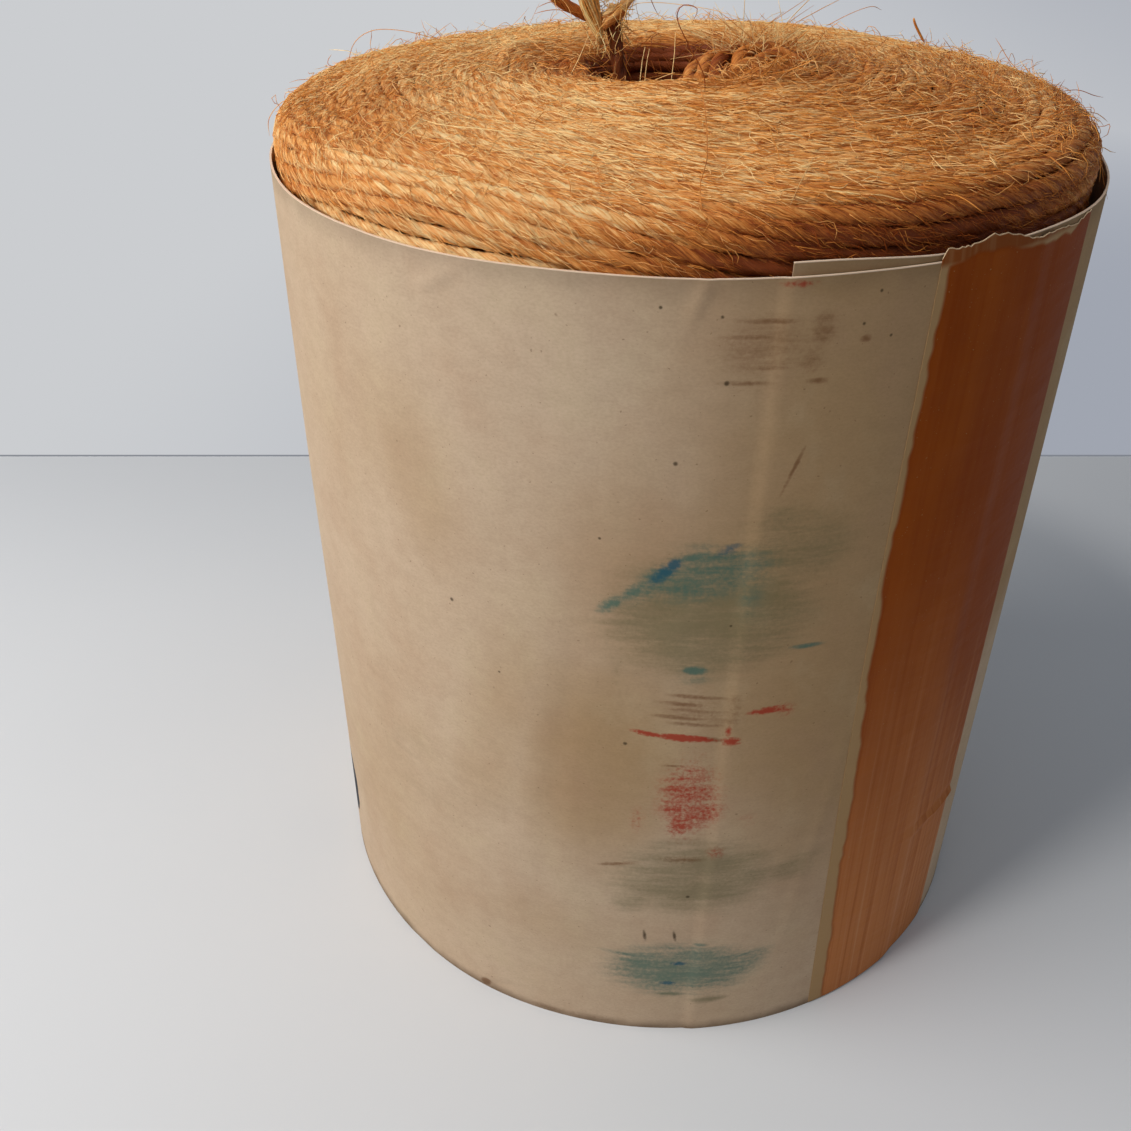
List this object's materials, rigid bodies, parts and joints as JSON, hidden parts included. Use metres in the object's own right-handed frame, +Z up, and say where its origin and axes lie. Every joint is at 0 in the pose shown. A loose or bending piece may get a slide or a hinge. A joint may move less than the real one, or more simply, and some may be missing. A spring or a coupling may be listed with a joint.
{
  "type": "twine ball",
  "caption": "Tubeless ball of single-ply natural twine with a centre hole and knotted pull end, in a loose paper sleeve closed with packing tape.",
  "frame": {"origin": "centre of the sleeve's lower edge, on the surface it stands on", "axes": "+Z up along the sleeve's axis, parallel to the centre hole; +X to the right and -Y towards the front, where the sheet's inner end and the tape are"},
  "size_m": [0.1958, 0.1964, 0.283],
  "materials": {
    "twine": "hairy single-ply natural fibre",
    "twine_dark": "hairy single-ply natural fibre, aged brown",
    "twine_pale": "untwisted pale fibres",
    "paper": "matt buff wrapping paper, stained",
    "tape": "aged brown adhesive tape"
  },
  "bodies": {
    "ball": {"wound_core": "twine", "bore_turns": "twine_dark", "side_turns": "twine", "top_turns": "twine"},
    "sleeve": {"paper_sleeve": "paper", "packing_tape": "tape"},
    "pull_end": {"twine_tail": "twine_dark", "tail_knot": "twine_dark", "pull_loop": "twine_dark", "frayed_end": "twine_pale"}
  },
  "joints": [
    {"name": "sleeve_lift", "type": "slide", "parent": "ball", "child": "sleeve", "axis": [0, 0, 1], "range_m": [0, 0.29]},
    {"name": "twine_draw", "type": "slide", "parent": "ball", "child": "pull_end", "axis": [0, 0, 1], "range_m": [0, 0.06]}
  ]
}
